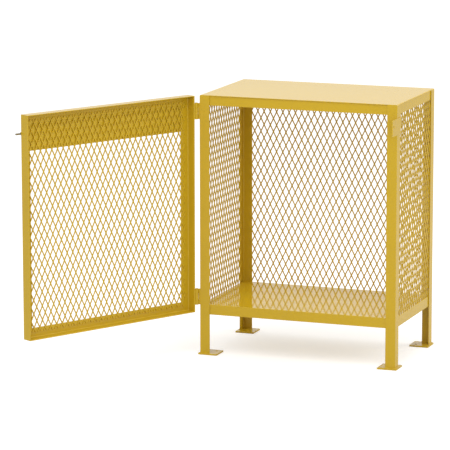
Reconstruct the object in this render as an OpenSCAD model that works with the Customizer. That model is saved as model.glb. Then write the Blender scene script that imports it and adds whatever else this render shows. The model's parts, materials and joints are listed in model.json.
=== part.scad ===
// Open-mesh steel cabinet for upright gas cylinders, with one hinged door.
// Millimetres. The origin is on the floor, midway between the four anchor holes.
// X runs to the right, Y to the back and Z up; the door is on the front and hangs on the left.

/* [Cabinet] */
// Width over the posts
cabinet_w = 764; // [500:1:1200]
// Depth over the posts
cabinet_d = 463; // [320:1:900]
// Height from the floor to the top sheet
cabinet_h = 981; // [700:1:1900]
// Floor to the lower edge of the bottom rails
leg_clearance = 154; // [60:1:300]

/* [Angle iron] */
// Leg of the posts' angle iron
post_leg = 38; // [30:1:60]
// Leg of the rails' angle iron
rail_leg = 36; // [28:1:55]
// Thickness of all angle iron
angle_t = 3.2; // [2:0.1:6]

/* [Sheets] */
// Thickness of the top sheet
top_sheet_t = 2; // [1:0.1:4]
// Thickness of the floor sheet
floor_sheet_t = 2; // [1:0.1:4]

/* [Expanded metal] */
// Diamond's short way, nearest whole fit; each diamond here stands for several small ones
cell_w = 66; // [50:1:120]
// Diamond's long way, nearest whole fit
cell_h = 128; // [100:1:240]
// Width of a strand
strand_w = 8; // [4:0.5:14]
// Thickness of the expanded sheet
mesh_t = 3; // [2:0.1:3.2]
// Solid edge of the sheet, which laps the angle iron and carries the weld
mesh_border = 6; // [4:0.5:12]

/* [Feet] */
// Side of a foot plate
foot_size = 75; // [64:1:120]
// Thickness of a foot plate
foot_t = 6; // [3:0.5:12]
// How far a foot plate stands out past the post's outer corner
foot_margin = 7; // [0:0.5:15]
// Anchor hole's centre, from the post's outer faces
anchor_inset = 48; // [46:1:54]
// Diameter of an anchor hole
anchor_d = 11; // [6:0.5:14]

/* [Door] */
// Angle by which the door stands open
door_open = 119.4; // [0:0.1:180]
// Width of the door
door_w = 765; // [500:1:1200]
// Door's hinge edge, outside the post's side face
door_overhang = 2; // [0:0.1:2.5]
// Floor to the door's lower edge
door_bottom = 162.5; // [70:0.5:320]
// Door's upper edge, below the top sheet's face
door_top_drop = 2.5; // [0:0.5:20]
// Gap between the closed door and the posts
door_gap = 2; // [1:0.1:3]
// Door frame, width of the flange in the door's face
door_flange = 37; // [30:1:60]
// Door frame, depth of the lip that points into the cabinet
door_lip = 39; // [30:1:60]
// How far the door's expanded metal laps its frame
door_mesh_lap = 16; // [6:1:20]

/* [Sign plate] */
// Height of the bare plate at the top of the door
sign_h = 131; // [110:1:200]
// Thickness of the plate
sign_t = 2; // [1:0.1:3]
// Distance of the plate from the door's edges
sign_inset = 4; // [2:0.5:20]

/* [Hinges] */
// Height of a hinge
hinge_h = 60; // [50:1:90]
// Hinge's end, from the door's nearer end
hinge_inset = 28; // [10:1:80]
// Thickness of a hinge leaf
leaf_t = 2.5; // [2:0.1:3]
// Width of a leaf on the angle iron
leaf_w = 30; // [20:1:36]
// Radius of the knuckles
knuckle_r = 6.5; // [5.5:0.1:7]
// Height of the door leaf's knuckle
door_knuckle_h = 24; // [16:1:36]
// Gap between two knuckles
knuckle_gap = 0.3; // [0.2:0.1:1]
// Radius of the pin
pin_r = 3.5; // [2.5:0.1:4.5]
// Clearance round the pin
pin_clearance = 0.05; // [0.03:0.01:0.1]
// Radius of the pin's head
pin_head_r = 5; // [4.6:0.1:6]
// Height of the pin's head
pin_head_h = 2; // [1:0.1:4]
// Pin's axis, outside the post's side face
pin_out = 11.5; // [11.4:0.1:16]
// Pin's axis, ahead of the posts' front faces
pin_ahead = 4.2; // [3.5:0.1:4.4]

/* [Slide bolt] */
// Diameter of the bolt rod
bolt_d = 6.4; // [5:0.1:8]
// Bolt's axis, below the door's upper edge
bolt_down = 71; // [50:1:90]
// How far the thrown bolt stands out of the door's free edge
bolt_throw = 18; // [15:1:34]
// Length of the rod
bolt_length = 168; // [163:1:240]
// Travel of the bolt
bolt_travel = 32; // [20:1:34]
// Outer diameter of the guide tubes
guide_d = 12.7; // [11:0.1:18]
// Length of a guide tube
guide_l = 22; // [12:1:24]
// Clearance round the rod in its guides
guide_clearance = 0.1; // [0.05:0.01:0.3]
// Outer guide's end, from the door's free edge
guide_inset = 6; // [5:1:12]
// Handle's outer face, from the door's free edge
handle_inset = 82; // [76:1:90]
// Thickness of the handle tab and of the padlock lug
tab_t = 3; // [2:0.1:5]
// Height of the handle tab and of the padlock lug
tab_h = 24; // [20:1:40]
// How far the tab and the lug stand out from the bolt's axis
tab_reach = 32; // [26:1:45]
// Diameter of the padlock hole
padlock_d = 10; // [6:0.5:11]
// Padlock hole's centre, from the bolt's axis
padlock_out = 20; // [17:0.5:30]

/* [Keeper] */
// Height of the keeper plate
keeper_h = 60; // [40:1:100]
// Keeper's middle, below the bolt's axis
keeper_drop = 5; // [0:1:10]
// How far the keeper stands ahead of the posts
keeper_reach = 64; // [59:1:80]
// Width of the keeper on the post's side face
keeper_lap = 36; // [20:1:38]
// Thickness of the keeper
keeper_t = 3.2; // [2:0.1:5]
// Radius of the keeper's hole
keeper_hole_r = 5; // [4.2:0.1:5.5]
// Radius of the keeper's free corners
keeper_corner_r = 4; // [1:0.5:8]

/* [Hidden] */
$fn = 48;

enamel = [0.78, 0.62, 0.18];
enamel_side = [0.86, 0.73, 0.38];
zinc = [0.62, 0.61, 0.56];

// How far a hole's cutter stands out of each face
over = 1;

// Rails sit inside the posts, and the top sheet lies on both
inner_w = cabinet_w - 2 * angle_t;
inner_d = cabinet_d - 2 * angle_t;
frame_top = cabinet_h - top_sheet_t;
floor_frame_top = leg_clearance + rail_leg;
floor_top = floor_frame_top + floor_sheet_t;

// Opening between the rails, where the cabinet's mesh stands
mesh_h = frame_top - rail_leg - floor_top;
mesh_inset = post_leg - mesh_border;

// Door, in its closed place and measured from the front left post's outer corner
door_left = -door_overhang;
door_right = door_left + door_w;
door_h = cabinet_h - door_top_drop - door_bottom;
door_top = door_bottom + door_h;
door_face = -door_gap - door_lip;
sign_face = door_face - sign_t;
pin = [-pin_out, -pin_ahead];
lower_hinge_z = door_bottom + hinge_inset;
upper_hinge_z = door_top - hinge_inset - hinge_h;

// Slide bolt, thrown, on the closed door
bolt_z = door_top - bolt_down;
bolt_y = sign_face - guide_d / 2;
bolt_end = door_right + bolt_throw;
handle_x = door_right - handle_inset;
// Gap between the thrown handle and the lug, and between the drawn handle and its guide
tab_gap = 0.4;
inner_guide_gap = 1;
outer_guide_x = door_right - guide_inset - guide_l;
inner_guide_x = handle_x - tab_t - bolt_travel - inner_guide_gap - guide_l;

// Builds a piece from the cabinet's front left corner, on the floor
module from_corner() {
    translate([-cabinet_w / 2, -cabinet_d / 2, 0]) children();
}

// Swings a piece of the closed door to where the door stands
module on_door() {
    from_corner()
        translate(pin) rotate(-door_open) translate(-pin) children();
}

// Puts a piece, built inwards from an outer corner, at one of the four corners
module at_corner(right, back) {
    translate([(right ? 1 : -1) * cabinet_w / 2, (back ? 1 : -1) * cabinet_d / 2, 0])
        mirror([right ? 1 : 0, 0, 0]) mirror([0, back ? 1 : 0, 0]) children();
}

// Turns a flat outline drawn in X and Y so that it stands in X and Z, thickness to the back
module upright() {
    mirror([0, 1, 0]) rotate([90, 0, 0]) children();
}

// Angle iron with both ends mitred, its corner along X, flange flat and lip up
module mitred_angle(length, flange, lip) {
    linear_extrude(angle_t)
        polygon([[0, 0], [length, 0], [length - flange, flange], [flange, flange]]);
    linear_extrude(lip)
        polygon([[0, 0], [length, 0], [length - angle_t, angle_t], [angle_t, angle_t]]);
}

// One side of a rectangular frame of mitred angle: 0 front, 1 right, 2 back, 3 left
module frame_side(side, w, d, flange, lip) {
    corners = [[0, 0], [w, 0], [w, d], [0, d]];
    translate(corners[side]) rotate(90 * side)
        mitred_angle(side % 2 == 0 ? w : d, flange, lip);
}

module post(right, back) {
    color(right ? enamel_side : enamel)
        at_corner(right, back)
            translate([0, 0, foot_t])
                linear_extrude(frame_top - foot_t)
                    polygon([
                        [0, 0], [post_leg, 0], [post_leg, angle_t],
                        [angle_t, angle_t], [angle_t, post_leg], [0, post_leg]
                    ]);
}

module foot(right, back) {
    color(enamel)
        at_corner(right, back)
            difference() {
                translate([-foot_margin, -foot_margin, 0]) cube([foot_size, foot_size, foot_t]);
                translate([anchor_inset, anchor_inset, -over])
                    cylinder(h = foot_t + 2 * over, d = anchor_d);
            }
}

// A rail of the top or bottom frame, flange on top and lip hanging down
module rail(side, top) {
    color(side % 2 == 0 ? enamel : enamel_side)
        from_corner()
            translate([angle_t, angle_t, top]) mirror([0, 0, 1])
                frame_side(side, inner_w, inner_d, rail_leg, rail_leg);
}

module top_sheet() {
    color(enamel)
        from_corner()
            translate([0, 0, frame_top]) cube([cabinet_w, cabinet_d, top_sheet_t]);
}

module floor_sheet() {
    color(enamel)
        from_corner()
            translate([angle_t, angle_t, floor_frame_top]) cube([inner_w, inner_d, floor_sheet_t]);
}

// Expanded sheet, w by h over its solid border, with staggered diamonds.
// The half steps are even numbers, so no diamond falls on a corner of the field.
module expanded_sheet(w, h) {
    field = [w - 2 * mesh_border, h - 2 * mesh_border];
    columns = 2 * max(1, round(field.x / cell_w));
    rows = 2 * max(1, round(field.y / cell_h));
    step = [field.x / columns, field.y / rows];
    half_x = step.x - strand_w / 2 * norm(step) / step.y;
    half_y = half_x * step.y / step.x;
    tips = [[1, 0], [0, 1], [-1, 0], [0, -1]];
    diamonds = [
        for (i = [0 : columns])
            for (j = [0 : rows])
                if ((i + j) % 2 == 1) [
                    for (tip = tips)
                        if (i + tip.x >= 0 && i + tip.x <= columns)
                            if (j + tip.y >= 0 && j + tip.y <= rows) [
                                mesh_border + i * step.x + tip.x * half_x,
                                mesh_border + j * step.y + tip.y * half_y
                            ]
                ]
    ];
    sizes = [for (d = diamonds) len(d)];
    starts = [for (k = 0, at = 4; k < len(sizes); at = at + sizes[k], k = k + 1) at];
    outline = [[0, 0], [w, 0], [w, h], [0, h]];
    points = concat(outline, [for (d = diamonds) each d]);
    holes = [for (k = [0 : len(sizes) - 1]) [for (q = [0 : sizes[k] - 1]) starts[k] + q]];
    linear_extrude(mesh_t) polygon(points, concat([[0, 1, 2, 3]], holes));
}

module back_mesh() {
    color(enamel)
        from_corner()
            translate([mesh_inset, cabinet_d - angle_t - mesh_t, floor_top])
                upright() expanded_sheet(cabinet_w - 2 * mesh_inset, mesh_h);
}

module side_mesh(right) {
    color(enamel_side)
        at_corner(right, false)
            translate([angle_t + mesh_t, mesh_inset, floor_top])
                rotate([0, 0, 90]) upright() expanded_sheet(cabinet_d - 2 * mesh_inset, mesh_h);
}

// How far the door leaf's plate stops short of the lip's free edge
leaf_setback = 0.4;
// How near a leaf comes to the other leaf's knuckles, and how far from the pin's axis that is
leaf_gap = 0.5;
leaf_start = sqrt(knuckle_r ^ 2 - (knuckle_r - leaf_t) ^ 2) + leaf_gap;

// Centre knuckle and outer knuckles, as [height of the lower end, height of the knuckle]
door_knuckles = [[(hinge_h - door_knuckle_h) / 2, door_knuckle_h]];
frame_knuckle_h = (hinge_h - door_knuckle_h) / 2 - knuckle_gap;
frame_knuckles = [[0, frame_knuckle_h], [hinge_h - frame_knuckle_h, frame_knuckle_h]];

// A leaf's knuckles round the pin, each with its web out to the plate's face. Beside the other
// leaf's knuckles the web goes on, up to a small gap, so that the hinge closes the slot it spans.
module knuckles(list, web_y, face_x) {
    translate([pin.x + leaf_start, pin.y + web_y, 0])
        cube([face_x - pin.x - leaf_start, leaf_t, hinge_h]);
    for (k = list)
        translate([pin.x, pin.y, k[0]]) {
            cylinder(h = k[1], r = knuckle_r);
            translate([0, web_y, 0]) cube([face_x - pin.x, leaf_t, k[1]]);
        }
}

module pin_bore() {
    translate([pin.x, pin.y, -over])
        cylinder(h = hinge_h + 2 * over, r = pin_r + pin_clearance);
}

module frame_leaf(z) {
    web_y = knuckle_r - leaf_t;
    color(enamel)
        from_corner()
            translate([0, 0, z])
                difference() {
                    union() {
                        knuckles(frame_knuckles, web_y, 0);
                        translate([-leaf_t, pin.y + web_y, 0]) cube([leaf_t, leaf_w, hinge_h]);
                    }
                    pin_bore();
                }
}

module door_leaf(z) {
    color(enamel)
        on_door()
            translate([0, 0, z])
                difference() {
                    union() {
                        knuckles(door_knuckles, -knuckle_r, door_left);
                        translate([door_left - leaf_t, -door_gap - leaf_w, 0])
                            cube([leaf_t, leaf_w - leaf_setback, hinge_h]);
                    }
                    pin_bore();
                }
}

module hinge_pin(z) {
    color(enamel)
        from_corner()
            translate([pin.x, pin.y, z]) {
                cylinder(h = hinge_h, r = pin_r);
                translate([0, 0, hinge_h]) cylinder(h = pin_head_h, r = pin_head_r);
            }
}

// A side of the door's frame: 0 bottom rail, 1 free stile, 2 top rail, 3 hinge stile
module door_side(side) {
    color(enamel)
        on_door()
            translate([door_left, door_face, door_bottom])
                upright() frame_side(side, door_w, door_h, door_flange, door_lip);
}

module door_mesh() {
    inset = door_flange - door_mesh_lap;
    color(enamel)
        on_door()
            translate([door_left + inset, door_face + angle_t, door_bottom + inset])
                upright() expanded_sheet(door_w - 2 * inset, door_h - 2 * inset);
}

module door_sign_plate() {
    color(enamel)
        on_door()
            translate([door_left + sign_inset, sign_face, door_top - sign_inset - sign_h])
                cube([door_w - 2 * sign_inset, sign_t, sign_h]);
}

// A round bar along the bolt's axis, from x over length l
module along_bolt(x, l, d) {
    translate([x, bolt_y, bolt_z]) rotate([0, 90, 0]) cylinder(h = l, d = d);
}

module bolt_guide(x) {
    color(enamel)
        on_door()
            difference() {
                along_bolt(x, guide_l, guide_d);
                along_bolt(x - over, guide_l + 2 * over, bolt_d + 2 * guide_clearance);
            }
}

// A tab across the bolt, from its axis outwards, with a round end about the padlock hole.
// It reaches back towards the door by foot, and takes the bolt through a hole of bore_d.
module padlock_tab(x, foot, bore_d) {
    end_r = tab_reach - padlock_out;
    translate([x, bolt_y, bolt_z]) rotate([0, 90, 0])
        linear_extrude(tab_t)
            difference() {
                union() {
                    translate([-tab_h / 2, -padlock_out]) square([tab_h, padlock_out + foot]);
                    translate([0, -padlock_out]) circle(r = min(end_r, tab_h / 2));
                }
                circle(d = bore_d);
                translate([0, -padlock_out]) circle(d = padlock_d);
            }
}

module padlock_lug() {
    color(enamel)
        on_door() padlock_tab(handle_x + tab_gap, guide_d / 2, bolt_d + 2 * guide_clearance);
}

module bolt_rod() {
    color(zinc)
        on_door() along_bolt(bolt_end - bolt_length, bolt_length, bolt_d);
}

module bolt_handle() {
    color(zinc)
        on_door() padlock_tab(handle_x - tab_t, guide_d / 2 - inner_guide_gap, bolt_d);
}

// Plate on the right post's side face, standing ahead of it to take the bolt
module keeper_plate() {
    low = bolt_z - keeper_drop - keeper_h / 2;
    rear = keeper_lap - keeper_corner_r;
    color(enamel_side)
        from_corner()
            translate([cabinet_w + keeper_t, 0, low]) rotate([0, 0, 90]) upright()
                linear_extrude(keeper_t)
                    difference() {
                        union() {
                            translate([-keeper_reach + keeper_corner_r, 0])
                                square([keeper_reach + rear, keeper_h]);
                            translate([-keeper_reach, keeper_corner_r])
                                square([keeper_corner_r, keeper_h - 2 * keeper_corner_r]);
                            for (z = [keeper_corner_r, keeper_h - keeper_corner_r])
                                translate([-keeper_reach + keeper_corner_r, z])
                                    circle(r = keeper_corner_r);
                        }
                        translate([bolt_y, bolt_z - low]) circle(r = keeper_hole_r);
                    }
}

post(false, false);  // post_front_left
post(true, false);  // post_front_right
post(false, true);  // post_back_left
post(true, true);  // post_back_right
rail(0, frame_top);  // top_rail_front
rail(1, frame_top);  // top_rail_right
rail(2, frame_top);  // top_rail_back
rail(3, frame_top);  // top_rail_left
rail(0, floor_frame_top);  // bottom_rail_front
rail(1, floor_frame_top);  // bottom_rail_right
rail(2, floor_frame_top);  // bottom_rail_back
rail(3, floor_frame_top);  // bottom_rail_left
top_sheet();
floor_sheet();
back_mesh();
side_mesh(false);  // left_mesh
side_mesh(true);  // right_mesh
foot(false, false);  // foot_front_left
foot(true, false);  // foot_front_right
foot(false, true);  // foot_back_left
foot(true, true);  // foot_back_right
frame_leaf(upper_hinge_z);  // upper_frame_leaf
frame_leaf(lower_hinge_z);  // lower_frame_leaf
hinge_pin(upper_hinge_z);  // upper_hinge_pin
hinge_pin(lower_hinge_z);  // lower_hinge_pin
keeper_plate();
door_side(3);  // door_hinge_stile
door_side(1);  // door_free_stile
door_side(2);  // door_top_rail
door_side(0);  // door_bottom_rail
door_mesh();
door_sign_plate();
door_leaf(upper_hinge_z);  // upper_door_leaf
door_leaf(lower_hinge_z);  // lower_door_leaf
bolt_guide(outer_guide_x);  // outer_bolt_guide
bolt_guide(inner_guide_x);  // inner_bolt_guide
padlock_lug();
bolt_rod();
bolt_handle();
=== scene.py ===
import json
import math

import bmesh
import bpy
from mathutils import Matrix, Vector


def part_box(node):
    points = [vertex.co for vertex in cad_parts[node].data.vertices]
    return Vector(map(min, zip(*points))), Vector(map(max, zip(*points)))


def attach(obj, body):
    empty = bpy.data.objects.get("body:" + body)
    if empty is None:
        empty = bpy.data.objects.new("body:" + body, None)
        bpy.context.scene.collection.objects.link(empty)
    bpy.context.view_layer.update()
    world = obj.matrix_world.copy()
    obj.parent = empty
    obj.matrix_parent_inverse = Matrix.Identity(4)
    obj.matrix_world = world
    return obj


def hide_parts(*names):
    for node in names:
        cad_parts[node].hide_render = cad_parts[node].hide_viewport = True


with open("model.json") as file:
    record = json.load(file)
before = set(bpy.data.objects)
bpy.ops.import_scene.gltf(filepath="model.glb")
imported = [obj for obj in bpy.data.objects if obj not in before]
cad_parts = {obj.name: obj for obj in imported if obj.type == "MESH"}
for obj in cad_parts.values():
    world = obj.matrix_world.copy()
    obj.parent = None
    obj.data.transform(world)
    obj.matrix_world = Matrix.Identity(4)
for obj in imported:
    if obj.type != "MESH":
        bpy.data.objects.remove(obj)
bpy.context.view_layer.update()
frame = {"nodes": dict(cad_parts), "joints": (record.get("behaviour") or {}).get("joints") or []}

# Four corner posts of hot rolled angle iron, which run down as the legs. The heel is sharp, the
# toes are rounded on the inside and the root has a fillet. The welded cabinet is sprayed all over
# with one glossy yellow enamel, which draws thin on edges and dries with a faint orange peel.
IRON = 0.0032
ROOT = 0.003
TOE = 0.0018
HEEL = 0.0005
BURR = 0.0002
TOP_NOSE = 0.005
SAME_PLACE = 0.00001
SHARP_ANGLE = 0.6
YELLOW = (0.57, 0.372, 0.014, 1)
THIN_YELLOW = (0.62, 0.43, 0.035, 1)


def add_nodes(tree, **kinds):
    """Adds nodes to a tree by name, and gives them back as a dictionary."""
    made = {}
    for name, kind in kinds.items():
        made[name] = tree.nodes.new(kind)
        made[name].name = made[name].label = name
    return made


def new_skin(name, inputs):
    """An empty node group of a finish, which puts out its colour, roughness and height."""
    group = bpy.data.node_groups.new(name, "ShaderNodeTree")
    for socket, value in inputs.items():
        kind = "NodeSocketColor" if isinstance(value, tuple) else "NodeSocketFloat"
        group.interface.new_socket(socket, in_out="INPUT", socket_type=kind).default_value = value
    for socket, kind in (
        ("Colour", "NodeSocketColor"),
        ("Roughness", "NodeSocketFloat"),
        ("Height", "NodeSocketFloat"),
    ):
        group.interface.new_socket(socket, in_out="OUTPUT", socket_type=kind)
    return group


def enamel_skin_group():
    """Node group of a sprayed enamel: its drifting colour, gloss and orange peel, thin on edges."""
    group = new_skin(
        "enamel_skin",
        {
            "Colour": YELLOW,
            "Edge colour": THIN_YELLOW,
            "Drift": 0.06,
            "Gloss": 0.2,
            "Gloss drift": 0.06,
            "Peel size": 260.0,
        },
    )
    n = add_nodes(
        group,
        inputs="NodeGroupInput",
        outputs="NodeGroupOutput",
        place="ShaderNodeTexCoord",
        clouds="ShaderNodeTexNoise",
        drift="ShaderNodeMath",
        lift="ShaderNodeMath",
        tint="ShaderNodeHueSaturation",
        edge="ShaderNodeAttribute",
        worn="ShaderNodeMath",
        coat="ShaderNodeMix",
        haze="ShaderNodeTexNoise",
        spread="ShaderNodeMath",
        centre="ShaderNodeMath",
        rough="ShaderNodeMath",
        peel="ShaderNodeTexNoise",
        grit="ShaderNodeTexNoise",
        fleck="ShaderNodeMath",
        height="ShaderNodeMath",
    )
    link = group.links.new
    n["clouds"].inputs["Scale"].default_value = 5.5
    n["clouds"].inputs["Detail"].default_value = 3
    n["haze"].inputs["Scale"].default_value = 38
    n["haze"].inputs["Detail"].default_value = 4
    n["peel"].inputs["Detail"].default_value = 1.5
    n["grit"].inputs["Scale"].default_value = 1500
    n["grit"].inputs["Detail"].default_value = 0
    for name in ("clouds", "haze", "peel", "grit"):
        link(n["place"].outputs["Object"], n[name].inputs["Vector"])
    # The colour drifts a little lighter and darker over a hand's width
    n["lift"].operation = "SUBTRACT"
    n["lift"].inputs[1].default_value = 0.5
    link(n["clouds"].outputs["Fac"], n["lift"].inputs[0])
    n["drift"].operation = "MULTIPLY_ADD"
    n["drift"].inputs[2].default_value = 1
    link(n["lift"].outputs[0], n["drift"].inputs[0])
    link(n["inputs"].outputs["Drift"], n["drift"].inputs[1])
    link(n["drift"].outputs[0], n["tint"].inputs["Value"])
    n["edge"].attribute_name = "edge_band"
    n["worn"].operation = "MULTIPLY"
    link(n["edge"].outputs["Fac"], n["worn"].inputs[0])
    link(n["haze"].outputs["Fac"], n["worn"].inputs[1])
    n["coat"].data_type = "RGBA"
    link(n["worn"].outputs[0], n["coat"].inputs["Factor"])
    link(n["inputs"].outputs["Colour"], n["coat"].inputs[6])
    link(n["inputs"].outputs["Edge colour"], n["coat"].inputs[7])
    link(n["coat"].outputs[2], n["tint"].inputs["Color"])
    link(n["tint"].outputs["Color"], n["outputs"].inputs["Colour"])
    # The gloss is hazy in patches
    n["centre"].operation = "SUBTRACT"
    n["centre"].inputs[1].default_value = 0.5
    link(n["haze"].outputs["Fac"], n["centre"].inputs[0])
    n["spread"].operation = "MULTIPLY"
    link(n["centre"].outputs[0], n["spread"].inputs[0])
    link(n["inputs"].outputs["Gloss drift"], n["spread"].inputs[1])
    n["rough"].operation = "ADD"
    link(n["spread"].outputs[0], n["rough"].inputs[0])
    link(n["inputs"].outputs["Gloss"], n["rough"].inputs[1])
    link(n["rough"].outputs[0], n["outputs"].inputs["Roughness"])
    # Orange peel, with finer grit in it
    link(n["inputs"].outputs["Peel size"], n["peel"].inputs["Scale"])
    n["fleck"].operation = "MULTIPLY"
    n["fleck"].inputs[1].default_value = 0.12
    link(n["grit"].outputs["Fac"], n["fleck"].inputs[0])
    n["height"].operation = "ADD"
    link(n["peel"].outputs["Fac"], n["height"].inputs[0])
    link(n["fleck"].outputs[0], n["height"].inputs[1])
    link(n["height"].outputs[0], n["outputs"].inputs["Height"])
    return group


def coated(name, skin, values, relief_depth):
    """A new material that wears a finish with its own values, and the shader in it."""
    material = bpy.data.materials.new(name)
    material.use_nodes = True
    tree = material.node_tree
    shader = tree.nodes["Principled BSDF"]
    n = add_nodes(tree, skin="ShaderNodeGroup", relief="ShaderNodeBump")
    n["skin"].node_tree = skin
    for socket, value in values.items():
        n["skin"].inputs[socket].default_value = value
    n["relief"].inputs["Strength"].default_value = 1
    n["relief"].inputs["Distance"].default_value = relief_depth
    tree.links.new(n["skin"].outputs["Colour"], shader.inputs["Base Color"])
    tree.links.new(n["skin"].outputs["Roughness"], shader.inputs["Roughness"])
    tree.links.new(n["skin"].outputs["Height"], n["relief"].inputs["Height"])
    tree.links.new(n["relief"].outputs["Normal"], shader.inputs["Normal"])
    return material, shader


def enamel(name, gloss, gloss_drift, drift, peel_size, peel_depth, colour=YELLOW):
    """A material of the yellow enamel, as it lies on one kind of steel. A lighter colour given to
    it, as on the sheets, is painted light.
    """
    values = {
        "Colour": colour,
        "Gloss": gloss,
        "Gloss drift": gloss_drift,
        "Drift": drift,
        "Peel size": peel_size,
    }
    material, shader = coated(name, enamel_skin, values, peel_depth)
    shader.inputs["IOR"].default_value = 1.42
    return material


def start_shaping(name):
    """Names the primitive just added, puts its place in its mesh and opens it in edit mode."""
    piece = bpy.context.object
    piece.name = piece.data.name = name
    bpy.ops.object.transform_apply(location=True, rotation=True, scale=True)
    piece.data.attributes.new("edge_band", "FLOAT", "FACE")
    bpy.ops.object.mode_set(mode="EDIT")
    return piece


def start_block(name, lowest, highest):
    """A block between two corners, selected in edit mode, from which a piece is shaped."""
    bpy.ops.object.select_all(action="DESELECT")
    low, high = Vector(lowest), Vector(highest)
    bpy.ops.mesh.primitive_cube_add(size=1, location=(low + high) / 2, scale=high - low)
    return start_shaping(name)


def pick_faces(piece, wanted):
    """Selects the faces whose middle and normal are wanted."""
    bpy.ops.mesh.select_mode(type="FACE")
    bpy.ops.mesh.select_all(action="DESELECT")
    shape = bmesh.from_edit_mesh(piece.data)
    for face in shape.faces:
        face.select_set(wanted(face.calc_center_median(), face.normal))
    shape.select_flush_mode()
    bmesh.update_edit_mesh(piece.data)


def pick_edges(piece, wanted):
    """Selects the sharp edges whose middle and direction are wanted."""
    bpy.ops.mesh.select_mode(type="EDGE")
    bpy.ops.mesh.select_all(action="DESELECT")
    shape = bmesh.from_edit_mesh(piece.data)
    for edge in shape.edges:
        middle = (edge.verts[0].co + edge.verts[1].co) / 2
        run = (edge.verts[1].co - edge.verts[0].co).normalized()
        sharp = edge.is_boundary or edge.calc_face_angle(0) > SHARP_ANGLE
        edge.select_set(sharp and wanted(middle, run))
    bmesh.update_edit_mesh(piece.data)


def round_edges(piece, radius, steps, wanted):
    """Rounds the wanted edges, and marks the new faces as the band where enamel is thin."""
    pick_edges(piece, wanted)
    bpy.ops.mesh.bevel(offset=radius, segments=steps, affect="EDGES", clamp_overlap=True)
    shape = bmesh.from_edit_mesh(piece.data)
    band = shape.faces.layers.float["edge_band"]
    for face in shape.faces:
        if face.select:
            face[band] = 1
    bmesh.update_edit_mesh(piece.data)


def cut_off(point, normal):
    """Saws off what lies past a plane, and closes the cut."""
    bpy.ops.mesh.select_all(action="SELECT")
    bpy.ops.mesh.bisect(plane_co=point, plane_no=normal, use_fill=True, clear_outer=True)


def angle_iron(name, length, flange, lip, mitred):
    """A length of angle iron along X, its heel on the axis, flange towards Y and lip towards Z."""
    piece = start_block(name, (0, 0, 0), (length, flange, IRON))
    bpy.ops.mesh.bisect(plane_co=(0, IRON, 0), plane_no=(0, 1, 0))
    pick_faces(piece, lambda at, way: way.z > 0.9 and at.y < IRON)
    bpy.ops.mesh.extrude_region_move(TRANSFORM_OT_translate={"value": (0, 0, lip - IRON)})
    for radius, steps, corners in (
        (ROOT, 4, [(IRON, IRON)]),
        (TOE, 3, [(flange, IRON), (IRON, lip)]),
        (HEEL, 2, [(0, 0)]),
    ):
        round_edges(
            piece,
            radius,
            steps,
            lambda at, run: abs(run.x) > 0.9
            and any((at.yz - Vector(corner)).length < SAME_PLACE for corner in corners),
        )
    if mitred:
        round_edges(piece, BURR, 1, lambda at, run: abs(run.x) > 0.9)
        cut_off((0, 0, 0), (-1, 1, 0))
        cut_off((length, 0, 0), (1, 1, 0))
    bpy.ops.object.mode_set(mode="OBJECT")
    return piece


def pick_only(piece):
    """Selects one piece, and makes it the active one."""
    bpy.ops.object.select_all(action="DESELECT")
    piece.select_set(True)
    bpy.context.view_layer.objects.active = piece


def reach_in(box, *ways):
    """How far a box reaches in each of three directions."""
    size = box[1] - box[0]
    return [abs(size.dot(Vector(way))) for way in ways]


def lay_in(box, piece, along, across, up):
    """Lays a piece, built along X, Y and Z from the origin, in a box in three new directions."""
    low, high = box
    corner = [
        low[axis] if along[axis] + across[axis] + up[axis] > 0 else high[axis]
        for axis in range(3)
    ]
    turn = Matrix((along, across, up)).transposed().to_4x4()
    piece.matrix_world = Matrix.Translation(corner) @ turn
    pick_only(piece)
    bpy.ops.object.transform_apply(location=True, rotation=True, scale=True)


def fit_angle_iron(node, box, across, up, mitred):
    """Angle iron that fills a node's box, its flange laid one way and its lip another."""
    along = Vector(across).cross(Vector(up))
    piece = angle_iron(node + "_iron", *reach_in(box, along, across, up), mitred)
    lay_in(box, piece, along, across, up)
    return piece


def coat(piece, material, body="cabinet"):
    """Shades a finished piece, gives it its material and says what it moves with."""
    pick_only(piece)
    bpy.ops.object.shade_smooth_by_angle(angle=math.radians(35))
    flats = piece.modifiers.new("flats", "WEIGHTED_NORMAL")
    flats.weight = 100
    flats.keep_sharp = True
    bpy.ops.object.modifier_apply(modifier=flats.name)
    piece.data.materials.clear()
    piece.data.materials.append(material)
    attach(piece, body)


def complete(piece, node, material, body="cabinet"):
    """Coats a finished piece and hides the node that it stands in for."""
    coat(piece, material, body)
    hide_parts(node)


def round_top_sides(piece):
    """Cuts a piece back to the rounding that runs along the cabinet's top on the left and right."""
    bpy.ops.object.mode_set(mode="EDIT")
    low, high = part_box("top_sheet")
    for side, edge in ((-1, low.x), (1, high.x)):
        centre = Vector((edge - side * TOP_NOSE, 0, high.z - TOP_NOSE))
        for tilt in range(10, 90, 10):
            way = Vector((side * math.sin(math.radians(tilt)), 0, math.cos(math.radians(tilt))))
            cut_off(centre + TOP_NOSE * way, way)
    bpy.ops.object.mode_set(mode="OBJECT")


enamel_skin = enamel_skin_group()
iron_enamel = enamel(
    "iron_enamel", gloss=0.2, gloss_drift=0.07, drift=0.07, peel_size=240, peel_depth=0.00022
)
for node, across, up in (
    ("post_front_left", (1, 0, 0), (0, 1, 0)),
    ("post_front_right", (0, 1, 0), (-1, 0, 0)),
    ("post_back_right", (-1, 0, 0), (0, -1, 0)),
    ("post_back_left", (0, -1, 0), (1, 0, 0)),
):
    post = fit_angle_iron(node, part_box(node), across, up, mitred=False)
    round_top_sides(post)
    complete(post, node, iron_enamel)

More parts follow.
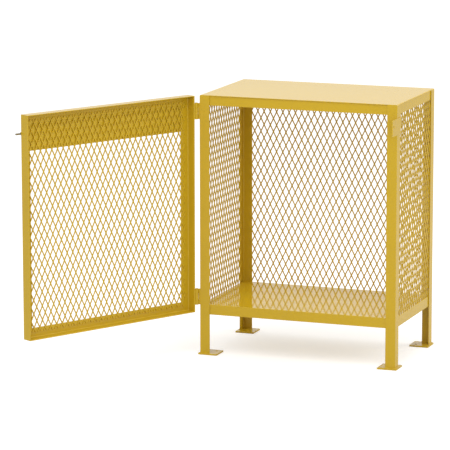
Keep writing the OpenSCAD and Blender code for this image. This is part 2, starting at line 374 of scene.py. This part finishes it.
# Top and bottom frames, each of four lengths of lighter angle iron with mitred ends. They are
# welded inside the posts, with the flange level on top and the lip hanging down.
for level in ("top", "bottom"):
    for side, inward in (
        ("front", (0, 1, 0)),
        ("right", (-1, 0, 0)),
        ("back", (0, -1, 0)),
        ("left", (1, 0, 0)),
    ):
        node = f"{level}_rail_{side}"
        rail = fit_angle_iron(node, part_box(node), inward, (0, 0, -1), mitred=True)
        if level == "top":
            round_top_sides(rail)
        complete(rail, node, iron_enamel)

# Solid top and floor of cold rolled sheet, smoother than the iron. Their yellow is painted lighter
# than the
#  iron's, as painted light: the top for more light falling on it, the floor still lighter for more
#  light inside the cabinet. The top covers posts and rails, with its sides ground round. The floor
#  lies between the posts' flanges, out of the weather, and is the glossiest piece.
SHEET_EDGE = 0.0004
# Lighter copies of the iron's yellow, painted light on the top and the floor
SHEET_YELLOW_PAINTED_LIGHT = (0.638, 0.417, 0.008, 1)
FLOOR_YELLOW_PAINTED_LIGHT = (0.684, 0.446, 0.008, 1)
on_sheet = {"gloss_drift": 0.04, "drift": 0.05, "peel_size": 120, "peel_depth": 0.00004}
sheet_enamel_painted_light = enamel("sheet_enamel_painted_light", gloss=0.2, colour=SHEET_YELLOW_PAINTED_LIGHT, **on_sheet)
floor_enamel_painted_light = enamel("floor_enamel_painted_light", gloss=0.05, colour=FLOOR_YELLOW_PAINTED_LIGHT, **on_sheet)
for node, material in (("top_sheet", sheet_enamel_painted_light), ("floor_sheet", floor_enamel_painted_light)):
    low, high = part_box(node)
    sheet = start_block(node + "_plate", low, high)
    if node == "top_sheet":
        round_top_sides(sheet)
        bpy.ops.object.mode_set(mode="EDIT")
    round_edges(sheet, SHEET_EDGE, 2, lambda at, run: True)
    bpy.ops.object.mode_set(mode="OBJECT")
    complete(sheet, node, material)

# Four square foot plates under the posts, sheared from flat bar, each with one drilled hole for
# an anchor bolt. Their edges are broken, and the posts are welded on them.
CORNERS = (("front", "left"), ("front", "right"), ("back", "left"), ("back", "right"))
FOOT_CORNER = 0.003
FOOT_EDGE = 0.0007
ANCHOR_FROM_EDGE = 0.055
ANCHOR_RADIUS = 0.0055


def combine(piece, other, operation):
    """Cuts another shape out of a piece or makes it one with the piece, and uses it up."""
    both = piece.modifiers.new("both", "BOOLEAN")
    both.operation = operation
    both.solver = "EXACT"
    both.object = other
    bpy.context.view_layer.objects.active = piece
    bpy.ops.object.modifier_apply(modifier=both.name)
    bpy.data.objects.remove(other)


def drill(piece, centre, way, radius, depth):
    """Drills a round hole through a piece."""
    bpy.ops.object.select_all(action="DESELECT")
    turn = Vector((0, 0, 1)).rotation_difference(Vector(way)).to_euler()
    bpy.ops.mesh.primitive_cylinder_add(
        vertices=40, radius=radius, depth=depth, location=centre, rotation=turn
    )
    combine(piece, bpy.context.object, "DIFFERENCE")


for row, side in CORNERS:
    node = f"foot_{row}_{side}"
    low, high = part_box(node)
    plate = start_block(node + "_plate", low, high)
    round_edges(plate, FOOT_CORNER, 3, lambda at, run: abs(run.z) > 0.9)
    bpy.ops.object.mode_set(mode="OBJECT")
    centre = (
        low.x + ANCHOR_FROM_EDGE if side == "left" else high.x - ANCHOR_FROM_EDGE,
        low.y + ANCHOR_FROM_EDGE if row == "front" else high.y - ANCHOR_FROM_EDGE,
        0,
    )
    drill(plate, centre, (0, 0, 1), ANCHOR_RADIUS, depth=0.05)
    bpy.ops.object.mode_set(mode="EDIT")
    round_edges(plate, FOOT_EDGE, 2, lambda at, run: abs(run.z) < 0.1)
    bpy.ops.object.mode_set(mode="OBJECT")
    complete(plate, node, iron_enamel)

# Panels of flattened expanded metal, slit and pulled from one sheet and rolled flat, with upright
# diamonds of 25.4 by 51.3 mm. A quarter of one crossing is sawn to shape, mirrored and repeated,
# and the cut ends lap the irons, where they are welded.
HALF_PITCH = 0.0127
HALF_RISE = 0.02565
STRAND = 0.0042
DIAMOND_CORNER = 0.0012
STRAND_EDGE = 0.0004
mesh_enamel = enamel(
    "mesh_enamel", gloss=0.24, gloss_drift=0.08, drift=0.06, peel_size=420, peel_depth=0.0001
)


def expanded_panel(name, width, thick, height, start):
    """Expanded metal in the XZ plane, from the origin, with one of its crossings at start."""
    slope = Vector((HALF_RISE, 0, -HALF_PITCH)).normalized()
    level = STRAND / 2 / slope.x
    piece = start_block(name, (0, 0, 0), (HALF_PITCH / 2 + 2 * level, thick, HALF_RISE / 2))
    cut_off((level, 0, 0), slope)
    cut_off((-level, 0, 0), -slope)
    pick_faces(piece, lambda at, way: way.x < -0.99 or abs(way.z) > 0.99)
    bpy.ops.mesh.delete(type="FACE")
    bpy.ops.object.mode_set(mode="OBJECT")
    whole = piece.modifiers.new("whole", "MIRROR")
    whole.use_axis = (True, False, True)
    whole.merge_threshold = SAME_PLACE
    bpy.ops.object.modifier_apply(modifier=whole.name)
    bpy.ops.object.mode_set(mode="EDIT")
    bpy.ops.mesh.select_all(action="SELECT")
    bpy.ops.mesh.dissolve_limited(angle_limit=0.01)
    end = HALF_RISE / 2 - SAME_PLACE
    round_edges(piece, DIAMOND_CORNER, 1, lambda at, run: abs(run.y) > 0.9 and abs(at.z) < end)
    round_edges(piece, STRAND_EDGE, 1, lambda at, run: abs(run.y) < 0.1 and abs(at.z) < end)
    bpy.ops.mesh.select_all(action="SELECT")
    bpy.ops.mesh.duplicate_move(TRANSFORM_OT_translate={"value": (HALF_PITCH, 0, HALF_RISE)})
    bpy.ops.mesh.select_all(action="SELECT")
    bpy.ops.transform.translate(
        value=(start[0] - 2 * HALF_PITCH, 0, start[1] - 2 * HALF_RISE)
    )
    bpy.ops.object.mode_set(mode="OBJECT")
    for step, length in (((2 * HALF_PITCH, 0, 0), width), ((0, 0, 2 * HALF_RISE), height)):
        rows = piece.modifiers.new("rows", "ARRAY")
        rows.use_relative_offset = False
        rows.use_constant_offset = True
        rows.constant_offset_displace = step
        rows.count = math.ceil(length / Vector(step).length) + 4
        bpy.ops.object.modifier_apply(modifier=rows.name)
    bpy.ops.object.mode_set(mode="EDIT")
    bpy.ops.mesh.select_all(action="SELECT")
    bpy.ops.mesh.remove_doubles(threshold=2 * SAME_PLACE)
    for point, normal in (
        ((0, 0, 0), (-1, 0, 0)),
        ((width, 0, 0), (1, 0, 0)),
        ((0, 0, 0), (0, 0, -1)),
        ((0, 0, height), (0, 0, 1)),
    ):
        cut_off(point, normal)
    bpy.ops.object.mode_set(mode="OBJECT")
    return piece


def fit_panel(node, box, along, outward, start):
    """Expanded metal that fills a node's box, upright, with one of its crossings at start."""
    directions = along, outward, (0, 0, 1)
    piece = expanded_panel(node + "_metal", *reach_in(box, *directions), start)
    lay_in(box, piece, *directions)
    return piece


for node, along, outward, start in (
    ("back_mesh", (1, 0, 0), (0, 1, 0), (0.0052, 0.002)),
    ("right_mesh", (0, -1, 0), (1, 0, 0), (0.011, 0.002)),
    ("left_mesh", (0, 1, 0), (-1, 0, 0), (0.0071, 0.001)),
):
    complete(fit_panel(node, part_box(node), along, outward, start), node, mesh_enamel)

# The door's frame is deeper angle iron, mitred like a picture frame, its lip pointing into the
# cabinet when shut. It is drawn shut here, from its nodes swung back, then swung open again.
hinge = next(joint for joint in frame["joints"] if joint["name"] == "door_hinge")
pin_axis = Vector((hinge["pos_m"][0], hinge["pos_m"][1], 0))
to_shut = (
    Matrix.Translation(pin_axis)
    @ Matrix.Rotation(math.radians(hinge["range_deg"][1]), 4, "Z")
    @ Matrix.Translation(-pin_axis)
)


def shut_box(node):
    """A door node's lowest and highest corners as it lies when the door is shut."""
    points = [to_shut @ vertex.co for vertex in frame["nodes"][node].data.vertices]
    low = Vector([min(point[axis] for point in points) for axis in range(3)])
    high = Vector([max(point[axis] for point in points) for axis in range(3)])
    return low, high


def swing_open(piece):
    """Swings a piece of the shut door to where the door stands."""
    piece.data.transform(to_shut.inverted())
    piece.data.update()
    return piece


for node, inward in (
    ("door_bottom_rail", (0, 0, 1)),
    ("door_top_rail", (0, 0, -1)),
    ("door_hinge_stile", (1, 0, 0)),
    ("door_free_stile", (-1, 0, 0)),
):
    member = fit_angle_iron(node, shut_box(node), inward, (0, 1, 0), mitred=True)
    complete(swing_open(member), node, iron_enamel, "door")

# The door's own panel of expanded metal, from edge to edge of its frame on the inner side, and
# the bare plate over its top quarter on the outer side.
PLATE_CORNER = 0.003
PLATE_EDGE = 0.0005
panel = fit_panel("door_mesh", shut_box("door_mesh"), (1, 0, 0), (0, 1, 0), (0.0027, 0.0409))
complete(swing_open(panel), "door_mesh", mesh_enamel, "door")
low, high = shut_box("door_sign_plate")
plate = start_block("door_sign_plate_sheet", low, high)
round_edges(plate, PLATE_CORNER, 3, lambda at, run: abs(run.y) > 0.9)
round_edges(plate, PLATE_EDGE, 2, lambda at, run: abs(run.y) < 0.1)
bpy.ops.object.mode_set(mode="OBJECT")
# The plate wears the top's enamel, whose lighter yellow is painted light
complete(swing_open(plate), "door_sign_plate", sheet_enamel_painted_light, "door")

# Two hinges, each of two leaves bent round a pin: the outer knuckles are the post's and the middle
# one the door's. They are welded on and sprayed with the cabinet.
LEAF = 0.0025
KNUCKLE = 0.0065
BORE = 0.00355
LEAF_START = 0.00562
LEAF_INSET = 0.0004
LEAF_EDGE = 0.0003
POST_KNUCKLES = ((0, 0.0177), (0.0423, 0.0177))
DOOR_KNUCKLES = ((0.018, 0.024),)


def start_round(name, centre, way, radius, length, sides=48):
    """A round bar about a centre, in edit mode, from which a piece is shaped."""
    bpy.ops.object.select_all(action="DESELECT")
    turn = Vector((0, 0, 1)).rotation_difference(Vector(way)).to_euler()
    bpy.ops.mesh.primitive_cylinder_add(
        vertices=sides, radius=radius, depth=length, location=centre, rotation=turn
    )
    return start_shaping(name)


def hinge_leaf(node, plate, web, knuckles):
    """A leaf: its plate, given by two corners, its bent web, and its knuckles round the pin."""
    leaf = start_block(node + "_strip", *plate)
    bpy.ops.object.mode_set(mode="OBJECT")
    bottom, face = plate[0].z, plate[1].x
    spans = [(pin_axis.x + LEAF_START, 0, plate[1].z - bottom)]
    spans += [(pin_axis.x, start, height) for start, height in knuckles]
    for left, start, height in spans:
        bend = start_block(
            "bend", (left, web, bottom + start), (face, web + LEAF, bottom + start + height)
        )
        bpy.ops.object.mode_set(mode="OBJECT")
        combine(leaf, bend, "UNION")
    for start, height in knuckles:
        middle = Vector((pin_axis.x, pin_axis.y, bottom + start + height / 2))
        knuckle = start_round("knuckle", middle, (0, 0, 1), KNUCKLE, height)
        bpy.ops.object.mode_set(mode="OBJECT")
        combine(leaf, knuckle, "UNION")
    drill(leaf, (pin_axis.x, pin_axis.y, bottom), (0, 0, 1), BORE, depth=0.3)
    broken = leaf.modifiers.new("broken_edges", "BEVEL")
    broken.width = LEAF_EDGE
    broken.segments = 2
    broken.limit_method = "ANGLE"
    broken.angle_limit = math.radians(40)
    bpy.ops.object.modifier_apply(modifier=broken.name)
    return leaf


for level in ("upper", "lower"):
    node = level + "_frame_leaf"
    low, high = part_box(node)
    web = pin_axis.y + KNUCKLE - LEAF
    plate = (Vector((high.x - LEAF, web, low.z)), high)
    leaf = hinge_leaf(node, plate, web, POST_KNUCKLES)
    complete(leaf, node, iron_enamel)
    node = level + "_door_leaf"
    low, high = shut_box(node)
    rear = shut_box("door_hinge_stile")[1].y - LEAF_INSET
    plate = (Vector((high.x - LEAF, low.y, low.z)), Vector((high.x, rear, high.z)))
    leaf = hinge_leaf(node, plate, pin_axis.y - KNUCKLE, DOOR_KNUCKLES)
    complete(swing_open(leaf), node, iron_enamel, "door")

# Two hinge pins of round bar, each with a thin domed head that rests on the top knuckle. They are
# put in before the cabinet is sprayed, so the same enamel covers them.
PIN = 0.0035
PIN_HEAD = 0.002
PIN_DOME = 0.0009
PIN_END = 0.0006
for level in ("upper", "lower"):
    node = level + "_hinge_pin"
    low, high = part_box(node)
    middle = Vector((pin_axis.x, pin_axis.y, (low.z + high.z - PIN_HEAD) / 2))
    pin = start_round(node + "_bar", middle, (0, 0, 1), PIN, high.z - PIN_HEAD - low.z)
    pick_faces(pin, lambda at, way: way.z > 0.9)
    bpy.ops.mesh.extrude_region_move(TRANSFORM_OT_translate={"value": (0, 0, 0)})
    wide = (high.x - low.x) / (2 * PIN)
    bpy.ops.transform.resize(value=(wide, wide, 1), center_override=middle)
    bpy.ops.mesh.extrude_region_move(TRANSFORM_OT_translate={"value": (0, 0, PIN_HEAD)})
    round_edges(pin, PIN_DOME, 4, lambda at, run: at.z > high.z - SAME_PLACE)
    round_edges(pin, PIN_END, 1, lambda at, run: at.z < low.z + SAME_PLACE)
    bpy.ops.object.mode_set(mode="OBJECT")
    complete(pin, node, iron_enamel)

# The slide bolt's rod is bright round bar, plated with zinc before it goes into its guides. The
# plating is faintly clouded, with fine scratches.
ROD_EDGE = 0.0008
ZINC = (0.42, 0.4, 0.34, 1)
DULL_ZINC = (0.27, 0.25, 0.2, 1)


def zinc_skin_group():
    """Node group of zinc plating: its clouded colour, patchy gloss and fine scratches."""
    group = new_skin(
        "zinc_skin",
        {
            "Colour": ZINC,
            "Dull colour": DULL_ZINC,
            "Gloss": 0.3,
            "Cloud size": 45.0,
        },
    )
    n = add_nodes(
        group,
        inputs="NodeGroupInput",
        outputs="NodeGroupOutput",
        place="ShaderNodeTexCoord",
        clouds="ShaderNodeTexNoise",
        grains="ShaderNodeTexVoronoi",
        tone="ShaderNodeMath",
        plating="ShaderNodeMix",
        scratches="ShaderNodeTexNoise",
        spread="ShaderNodeMath",
        rough="ShaderNodeMath",
    )
    link = group.links.new
    n["clouds"].inputs["Detail"].default_value = 4
    n["grains"].inputs["Scale"].default_value = 900
    n["scratches"].inputs["Scale"].default_value = 1800
    n["scratches"].inputs["Detail"].default_value = 2
    for name in ("clouds", "grains", "scratches"):
        link(n["place"].outputs["Object"], n[name].inputs["Vector"])
    link(n["inputs"].outputs["Cloud size"], n["clouds"].inputs["Scale"])
    n["tone"].operation = "MULTIPLY"
    link(n["clouds"].outputs["Fac"], n["tone"].inputs[0])
    link(n["grains"].outputs["Distance"], n["tone"].inputs[1])
    n["plating"].data_type = "RGBA"
    link(n["tone"].outputs[0], n["plating"].inputs["Factor"])
    link(n["inputs"].outputs["Colour"], n["plating"].inputs[6])
    link(n["inputs"].outputs["Dull colour"], n["plating"].inputs[7])
    link(n["plating"].outputs[2], n["outputs"].inputs["Colour"])
    n["spread"].operation = "MULTIPLY"
    n["spread"].inputs[1].default_value = 0.2
    link(n["clouds"].outputs["Fac"], n["spread"].inputs[0])
    n["rough"].operation = "ADD"
    link(n["spread"].outputs[0], n["rough"].inputs[0])
    link(n["inputs"].outputs["Gloss"], n["rough"].inputs[1])
    link(n["rough"].outputs[0], n["outputs"].inputs["Roughness"])
    link(n["scratches"].outputs["Fac"], n["outputs"].inputs["Height"])
    return group


def zinc(name, gloss, cloud_size, scratch_depth):
    """A material of zinc plating, as it lies on one kind of steel."""
    values = {"Gloss": gloss, "Cloud size": cloud_size}
    material, shader = coated(name, zinc_skin, values, scratch_depth)
    shader.inputs["Metallic"].default_value = 1
    return material


zinc_skin = zinc_skin_group()
zinc_bar = zinc("zinc_bar", gloss=0.24, cloud_size=60, scratch_depth=0.00002)
low, high = shut_box("bolt_rod")
bolt_axis = (low + high) / 2
rod = start_round(
    "bolt_rod_bar", bolt_axis, (1, 0, 0), (high.z - low.z) / 2, high.x - low.x, sides=32
)
round_edges(rod, ROD_EDGE, 2, lambda at, run: abs(run.x) < 0.1)
bpy.ops.object.mode_set(mode="OBJECT")
complete(swing_open(rod), "bolt_rod", zinc_bar, "bolt")

# The bolt's two guides are short cuts of thick tube, sawn off and welded to the plate. They share
# the cabinet's enamel and let the rod slide.
GUIDE_BORE = 0.0033
GUIDE_EDGE = 0.0005
for node in ("outer_bolt_guide", "inner_bolt_guide"):
    low, high = shut_box(node)
    middle = (low + high) / 2
    guide = start_round(node + "_tube", middle, (1, 0, 0), (high.z - low.z) / 2, high.x - low.x)
    bpy.ops.object.mode_set(mode="OBJECT")
    drill(guide, middle, (1, 0, 0), GUIDE_BORE, depth=0.1)
    bpy.ops.object.mode_set(mode="EDIT")
    round_edges(guide, GUIDE_EDGE, 2, lambda at, run: abs(run.x) < 0.1)
    bpy.ops.object.mode_set(mode="OBJECT")
    complete(swing_open(guide), node, iron_enamel, "door")

# Two like tabs of flat bar with round ends: the bolt's zinc plated handle, fixed on the rod, and
# the lug on the door. A padlock goes through both when the bolt is thrown.
PADLOCK_OUT = 0.02
PADLOCK_RADIUS = 0.005
TAB_ROUND = 0.0119
TAB_EDGE = 0.0004
zinc_plate = zinc("zinc_plate", gloss=0.3, cloud_size=35, scratch_depth=0.00003)
for node, bore, material, body, finish in (
    ("bolt_handle", 0.0032, zinc_plate, "bolt", "zinc_steel"),
    ("padlock_lug", 0.0033, iron_enamel, "door", "yellow_enamel"),
):
    low, high = shut_box(node)
    tab = start_block(node + "_bar", low, high)
    round_edges(
        tab, TAB_ROUND, 12, lambda at, run: abs(run.x) > 0.9 and abs(at.y - low.y) < SAME_PLACE
    )
    bpy.ops.object.mode_set(mode="OBJECT")
    rod_hole = Vector(((low.x + high.x) / 2, bolt_axis.y, bolt_axis.z))
    drill(tab, rod_hole, (1, 0, 0), bore, depth=0.05)
    lock_hole = Vector(((low.x + high.x) / 2, bolt_axis.y - PADLOCK_OUT, bolt_axis.z))
    drill(tab, lock_hole, (1, 0, 0), PADLOCK_RADIUS, depth=0.05)
    bpy.ops.object.mode_set(mode="EDIT")
    round_edges(tab, TAB_EDGE, 2, lambda at, run: abs(run.x) < 0.1)
    bpy.ops.object.mode_set(mode="OBJECT")
    complete(swing_open(tab), node, material, body)

# The keeper, a plate on the right post that stands ahead of it, with the hole that takes the
# thrown bolt. Its free corners are rounded and its edges broken.
KEEPER_CORNER = 0.004
KEEPER_EDGE = 0.0006
KEEPER_HOLE = 0.005
low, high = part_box("keeper_plate")
keeper = start_block("keeper_plate_bar", low, high)
round_edges(
    keeper, KEEPER_CORNER, 5, lambda at, run: abs(run.x) > 0.9 and abs(at.y - low.y) < SAME_PLACE
)
bpy.ops.object.mode_set(mode="OBJECT")
drill(keeper, (high.x, bolt_axis.y, bolt_axis.z), (1, 0, 0), KEEPER_HOLE, depth=0.05)
bpy.ops.object.mode_set(mode="EDIT")
round_edges(keeper, KEEPER_EDGE, 2, lambda at, run: abs(run.x) < 0.1)
bpy.ops.object.mode_set(mode="OBJECT")
complete(keeper, "keeper_plate", iron_enamel)

# Weld beads, each a row of small overlapping ripples: round the legs on their foot plates, along
# the hinges, the keeper and the bolt's guides, and in short stitches round the door's plate. They
# are enamelled over.
RIPPLE = 0.0011
RIPPLE_LENGTH = 1.3 * RIPPLE
RIPPLE_EDGE = 0.3 * RIPPLE
FILLET = 0.0025
SMALL_FILLET = 0.0015
SEAM_END = 0.002
STITCH = 0.025
GUIDE_SEAM_OUT = 0.0036
GUIDE_SEAM_END = 0.001


def weld_beads(name, seams, radius):
    """Weld beads of one radius, along seams that are each given by two ends."""
    beads = []
    for start, end in seams:
        start, end = Vector(start), Vector(end)
        way = (end - start).normalized()
        bead = start_round(name, start, way, radius, RIPPLE_LENGTH, sides=12)
        round_edges(bead, RIPPLE_EDGE, 1, lambda at, run: abs(run.dot(way)) < 0.1)
        bpy.ops.object.mode_set(mode="OBJECT")
        ripples = bead.modifiers.new("ripples", "ARRAY")
        ripples.use_relative_offset = False
        ripples.use_constant_offset = True
        ripples.constant_offset_displace = RIPPLE * way
        ripples.count = round((end - start).length / RIPPLE)
        bpy.ops.object.modifier_apply(modifier=ripples.name)
        beads.append(bead)
    bpy.ops.object.select_all(action="DESELECT")
    for bead in beads:
        bead.select_set(True)
    bpy.context.view_layer.objects.active = beads[0]
    bpy.ops.object.join()
    return beads[0]


def upright_seam(x, y, low, high):
    """The two ends of a seam up a piece's side, a little short of its ends."""
    return (x, y, low.z + SEAM_END), (x, y, high.z - SEAM_END)


seams = []
for row, side in CORNERS:
    low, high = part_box(f"post_{row}_{side}")
    face_x = low.x if side == "left" else high.x
    face_y = low.y if row == "front" else high.y
    foot_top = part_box(f"foot_{row}_{side}")[1].z
    seams.append(((low.x, face_y, foot_top), (high.x, face_y, foot_top)))
    seams.append(((face_x, low.y, foot_top), (face_x, high.y, foot_top)))
coat(weld_beads("foot_welds", seams, FILLET), iron_enamel)
seams = []
for level in ("upper", "lower"):
    low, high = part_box(level + "_frame_leaf")
    seams.append(upright_seam(high.x, high.y, low, high))
low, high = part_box("keeper_plate")
seams.append(upright_seam(low.x, high.y, low, high))
coat(weld_beads("frame_welds", seams, SMALL_FILLET), iron_enamel)

seams = []
for level in ("upper", "lower"):
    low, high = shut_box(level + "_door_leaf")
    rear = shut_box("door_hinge_stile")[1].y - SMALL_FILLET
    seams.append(upright_seam(high.x, rear, low, high))
plate_low, plate_high = shut_box("door_sign_plate")
rear = plate_high.y
half = STITCH / 2
for share in (0.08, 0.3, 0.5, 0.7, 0.92):
    along = plate_low.x + share * (plate_high.x - plate_low.x)
    seams.append(((along - half, rear, plate_high.z), (along + half, rear, plate_high.z)))
for edge in (plate_low.x, plate_high.x):
    for share in (0.25, 0.75):
        height = plate_low.z + share * (plate_high.z - plate_low.z)
        seams.append(((edge, rear, height - half), (edge, rear, height + half)))
for node in ("outer_bolt_guide", "inner_bolt_guide"):
    low, high = shut_box(node)
    left, right = low.x + GUIDE_SEAM_END, high.x - GUIDE_SEAM_END
    for side in (-GUIDE_SEAM_OUT, GUIDE_SEAM_OUT):
        height = bolt_axis.z + side
        seams.append(((left, plate_low.y, height), (right, plate_low.y, height)))
coat(swing_open(weld_beads("door_welds", seams, SMALL_FILLET)), iron_enamel, "door")

# The studio: a plain pale floor and an even white surround. The camera sees both as white, and
# gloss mirrors a white surround over a pale floor. The light that falls on the cabinet stays at a
# plain level.
FLOOR_PAINT = (0.72, 0.72, 0.72, 1)
SEEN_GLOW = 0.48
MIRRORED_GLOW = 0.05
SURROUND_WHITE = (1, 0.99, 0.98, 1)
SURROUND_LIGHT = 0.88
bpy.ops.object.select_all(action="DESELECT")
bpy.ops.mesh.primitive_plane_add(size=60, location=(0, 0, 0))
floor = bpy.context.object
floor.name = "studio_floor"
pale = bpy.data.materials.new("studio_floor")
pale.use_nodes = True
n = add_nodes(
    pale.node_tree,
    seen="ShaderNodeLightPath",
    mirrored="ShaderNodeMath",
    lift="ShaderNodeMath",
    glow="ShaderNodeEmission",
    both="ShaderNodeAddShader",
)
paint = pale.node_tree.nodes["Principled BSDF"]
paint.inputs["Base Color"].default_value = FLOOR_PAINT
paint.inputs["Roughness"].default_value = 1
paint.inputs["Specular IOR Level"].default_value = 0
n["mirrored"].operation = "MULTIPLY"
n["mirrored"].inputs[1].default_value = MIRRORED_GLOW
n["lift"].operation = "MULTIPLY_ADD"
n["lift"].inputs[1].default_value = SEEN_GLOW
link = pale.node_tree.links.new
link(n["seen"].outputs["Is Glossy Ray"], n["mirrored"].inputs[0])
link(n["seen"].outputs["Is Camera Ray"], n["lift"].inputs[0])
link(n["mirrored"].outputs[0], n["lift"].inputs[2])
link(n["lift"].outputs[0], n["glow"].inputs["Strength"])
link(paint.outputs[0], n["both"].inputs[0])
link(n["glow"].outputs[0], n["both"].inputs[1])
link(n["both"].outputs[0], pale.node_tree.nodes["Material Output"].inputs["Surface"])
floor.data.materials.append(pale)

world = bpy.data.worlds.new("studio")
bpy.context.scene.world = world
world.use_nodes = True
n = add_nodes(
    world.node_tree,
    seen="ShaderNodeLightPath",
    gloss="ShaderNodeMath",
    either="ShaderNodeMath",
    white="ShaderNodeBackground",
    mix="ShaderNodeMixShader",
)
dim = world.node_tree.nodes["Background"]
dim.inputs["Color"].default_value = SURROUND_WHITE
dim.inputs["Strength"].default_value = SURROUND_LIGHT
n["white"].inputs["Color"].default_value = (1, 1, 1, 1)
n["white"].inputs["Strength"].default_value = 1
n["gloss"].operation = "ADD"
n["either"].operation = "ADD"
n["either"].use_clamp = True
link = world.node_tree.links.new
link(n["seen"].outputs["Is Glossy Ray"], n["gloss"].inputs[0])
link(n["seen"].outputs["Is Transmission Ray"], n["gloss"].inputs[1])
link(n["gloss"].outputs[0], n["either"].inputs[0])
link(n["seen"].outputs["Is Camera Ray"], n["either"].inputs[1])
link(n["either"].outputs[0], n["mix"].inputs["Fac"])
link(dim.outputs[0], n["mix"].inputs[1])
link(n["white"].outputs[0], n["mix"].inputs[2])
link(n["mix"].outputs[0], world.node_tree.nodes["World Output"].inputs["Surface"])

# Three soft lamps, one high in front and two on the right, ahead and behind. Gloss doesn't mirror
# them, because their images would blank out the top from some sides.
for name, spot, size, power in (
    ("top_front", (-0.2, -2.4, 4.0), 3.0, 60),
    ("right_front", (3.0, -3.4, 2.2), 2.4, 20),
    ("right_back", (3.4, 1.6, 2.0), 2.4, 40),
):
    bpy.ops.object.light_add(type="AREA", location=spot)
    lamp = bpy.context.object
    lamp.name = lamp.data.name = name
    lamp.data.shape = "SQUARE"
    lamp.data.size = size
    lamp.data.energy = power
    lamp.visible_glossy = False
    aim = Vector((0, 0, 0.5)) - lamp.location
    lamp.rotation_euler = aim.to_track_quat("-Z", "Y").to_euler()

# The camera stands eleven metres off in front, towards the cabinet's right side, and looks down on
# it by ten degrees, with a long lens.
bpy.ops.object.camera_add(location=(3.6255, -10.6326, 2.5625))
camera = bpy.context.object
yaw, pitch, roll = math.radians(20.592), math.radians(10.522), math.radians(-0.067)
camera.rotation_euler = (
    Matrix.Rotation(yaw, 3, "Z")
    @ Matrix.Rotation(math.pi / 2 - pitch, 3, "X")
    @ Matrix.Rotation(roll, 3, "Z")
).to_euler()
camera.data.sensor_width = 36
camera.data.lens = 243.76
camera.data.clip_end = 200
bpy.context.scene.camera = camera
bpy.context.scene.view_settings.view_transform = "Standard"
